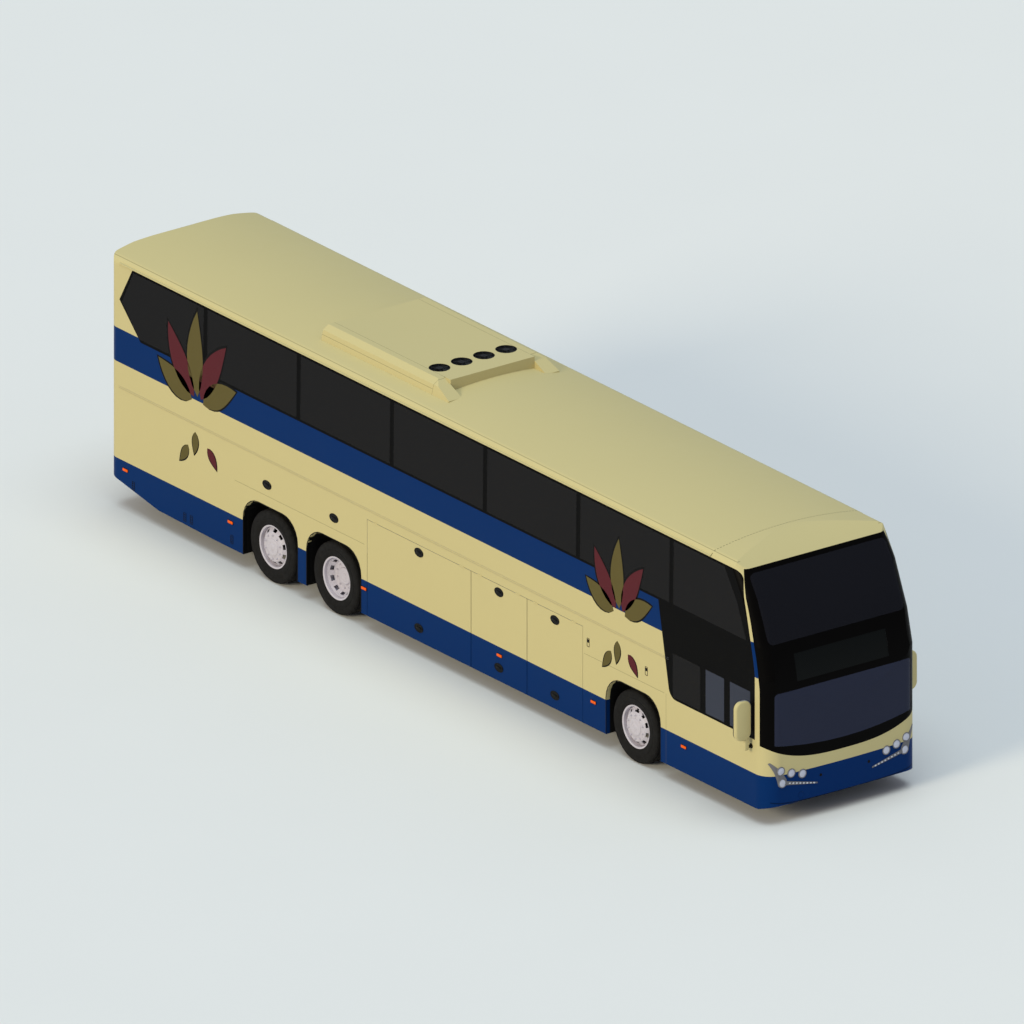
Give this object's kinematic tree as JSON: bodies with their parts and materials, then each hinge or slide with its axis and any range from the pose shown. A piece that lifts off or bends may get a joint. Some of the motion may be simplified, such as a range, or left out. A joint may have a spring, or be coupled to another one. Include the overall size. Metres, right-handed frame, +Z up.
{
  "type": "three-axle touring coach",
  "caption": "Long high-floor touring coach with a double-glazed front, steered front wheels, twin drive wheels, a tag axle, luggage lids and a hinged entrance door.",
  "frame": {"origin": "on the ground below the middle of the coach", "axes": "+X to the kerb (door) side, +Y to the rear, +Z up"},
  "size_m": [3.12, 14.745, 3.822],
  "materials": {
    "body_paint": "gloss",
    "skirt_paint": "gloss",
    "glass": "gloss",
    "black_trim": "gloss",
    "tyre": "matte",
    "rim": "satin",
    "steel": "satin",
    "castings": "satin",
    "floor": "matte",
    "lamp": "gloss",
    "tail_lamp": "gloss",
    "seat_cloth": "matte",
    "rubber": "matte",
    "dash": "matte"
  },
  "bodies": {
    "coach_body": {"roof": "body_paint", "roof_dome": "body_paint", "roof_pod": "body_paint", "roof_fans": "black_trim", "front_panel": "body_paint", "front_bumper": "skirt_paint", "rear_panel": "body_paint", "side_offside": "body_paint", "side_kerbside": "body_paint", "headlamps": "lamp", "tail_lamps": "tail_lamp", "destination_display": "black_trim", "windscreen_upper": "glass", "windscreen_lower": "glass", "glass_offside": "glass", "glass_kerbside": "glass", "rear_glass": "glass", "deck": "floor", "luggage_bay": "floor", "cab_floor": "floor", "steps": "floor", "seats": "seat_cloth", "dash": "dash", "steering_wheel": "dash", "arch_liners": "black_trim", "chassis": "steel", "engine": "castings", "front_axle": "castings", "drive_axle": "castings", "tag_axle": "castings", "air_springs": "rubber", "mirrors": "body_paint"},
    "door": {"door": "body_paint", "door_glass": "glass"},
    "engine_lid": {"engine_lid": "body_paint"},
    "knuckle_offside": {"knuckle_offside": "castings"},
    "wheel_front_offside": {"rim_front_offside": "rim", "tyre_front_offside": "tyre"},
    "wheel_drive_offside": {"rim_drive_offside": "rim", "tyres_drive_offside": "tyre"},
    "wheel_tag_offside": {"rim_tag_offside": "rim", "tyre_tag_offside": "tyre"},
    "luggage_lid_offside_1": {"luggage_lid_offside_1": "body_paint"},
    "luggage_lid_offside_2": {"luggage_lid_offside_2": "body_paint"},
    "luggage_lid_offside_3": {"luggage_lid_offside_3": "body_paint"},
    "knuckle_kerbside": {"knuckle_kerbside": "castings"},
    "wheel_front_kerbside": {"rim_front_kerbside": "rim", "tyre_front_kerbside": "tyre"},
    "wheel_drive_kerbside": {"rim_drive_kerbside": "rim", "tyres_drive_kerbside": "tyre"},
    "wheel_tag_kerbside": {"rim_tag_kerbside": "rim", "tyre_tag_kerbside": "tyre"},
    "luggage_lid_kerbside_1": {"luggage_lid_kerbside_1": "body_paint"},
    "luggage_lid_kerbside_2": {"luggage_lid_kerbside_2": "body_paint"},
    "luggage_lid_kerbside_3": {"luggage_lid_kerbside_3": "body_paint"}
  },
  "joints": [
    {"name": "steer_offside", "type": "hinge", "parent": "coach_body", "child": "knuckle_offside", "pos_m": [-0.98, -4.36, 0.511], "axis": [0, 0, 1], "range_deg": [-35, 35]},
    {"name": "spin_front_offside", "type": "hinge", "parent": "knuckle_offside", "child": "wheel_front_offside", "pos_m": [-1.105, -4.36, 0.511], "axis": [1, 0, 0], "continuous": true},
    {"name": "spin_drive_offside", "type": "hinge", "parent": "coach_body", "child": "wheel_drive_offside", "pos_m": [-1.105, 2.3, 0.511], "axis": [1, 0, 0], "continuous": true},
    {"name": "spin_tag_offside", "type": "hinge", "parent": "coach_body", "child": "wheel_tag_offside", "pos_m": [-1.105, 3.71, 0.511], "axis": [1, 0, 0], "continuous": true},
    {"name": "lid_offside_1", "type": "hinge", "parent": "coach_body", "child": "luggage_lid_offside_1", "pos_m": [-1.275, -2.619, 1.61], "axis": [0, 1, 0], "range_deg": [0, 90]},
    {"name": "lid_offside_2", "type": "hinge", "parent": "coach_body", "child": "luggage_lid_offside_2", "pos_m": [-1.275, -1.3755, 1.61], "axis": [0, 1, 0], "range_deg": [0, 90]},
    {"name": "lid_offside_3", "type": "hinge", "parent": "coach_body", "child": "luggage_lid_offside_3", "pos_m": [-1.275, 0.4035, 1.61], "axis": [0, 1, 0], "range_deg": [0, 90]},
    {"name": "steer_kerbside", "type": "hinge", "parent": "coach_body", "child": "knuckle_kerbside", "pos_m": [0.98, -4.36, 0.511], "axis": [0, 0, 1], "range_deg": [-35, 35]},
    {"name": "spin_front_kerbside", "type": "hinge", "parent": "knuckle_kerbside", "child": "wheel_front_kerbside", "pos_m": [1.105, -4.36, 0.511], "axis": [1, 0, 0], "continuous": true},
    {"name": "spin_drive_kerbside", "type": "hinge", "parent": "coach_body", "child": "wheel_drive_kerbside", "pos_m": [1.105, 2.3, 0.511], "axis": [1, 0, 0], "continuous": true},
    {"name": "spin_tag_kerbside", "type": "hinge", "parent": "coach_body", "child": "wheel_tag_kerbside", "pos_m": [1.105, 3.71, 0.511], "axis": [1, 0, 0], "continuous": true},
    {"name": "lid_kerbside_1", "type": "hinge", "parent": "coach_body", "child": "luggage_lid_kerbside_1", "pos_m": [1.275, -2.619, 1.61], "axis": [0, -1, 0], "range_deg": [0, 90]},
    {"name": "lid_kerbside_2", "type": "hinge", "parent": "coach_body", "child": "luggage_lid_kerbside_2", "pos_m": [1.275, -1.3755, 1.61], "axis": [0, -1, 0], "range_deg": [0, 90]},
    {"name": "lid_kerbside_3", "type": "hinge", "parent": "coach_body", "child": "luggage_lid_kerbside_3", "pos_m": [1.275, 0.4035, 1.61], "axis": [0, -1, 0], "range_deg": [0, 90]},
    {"name": "door_hinge", "type": "hinge", "parent": "coach_body", "child": "door", "pos_m": [1.275, -6.74, 1.3], "axis": [0, 0, -1], "range_deg": [0, 85]},
    {"name": "engine_lid_hinge", "type": "hinge", "parent": "coach_body", "child": "engine_lid", "pos_m": [0, 7.364, 2], "axis": [1, 0, 0], "range_deg": [0, 80]}
  ],
  "couplings": [
    {"joint": "steer_kerbside", "follows": "steer_offside", "ratio": 1}
  ]
}
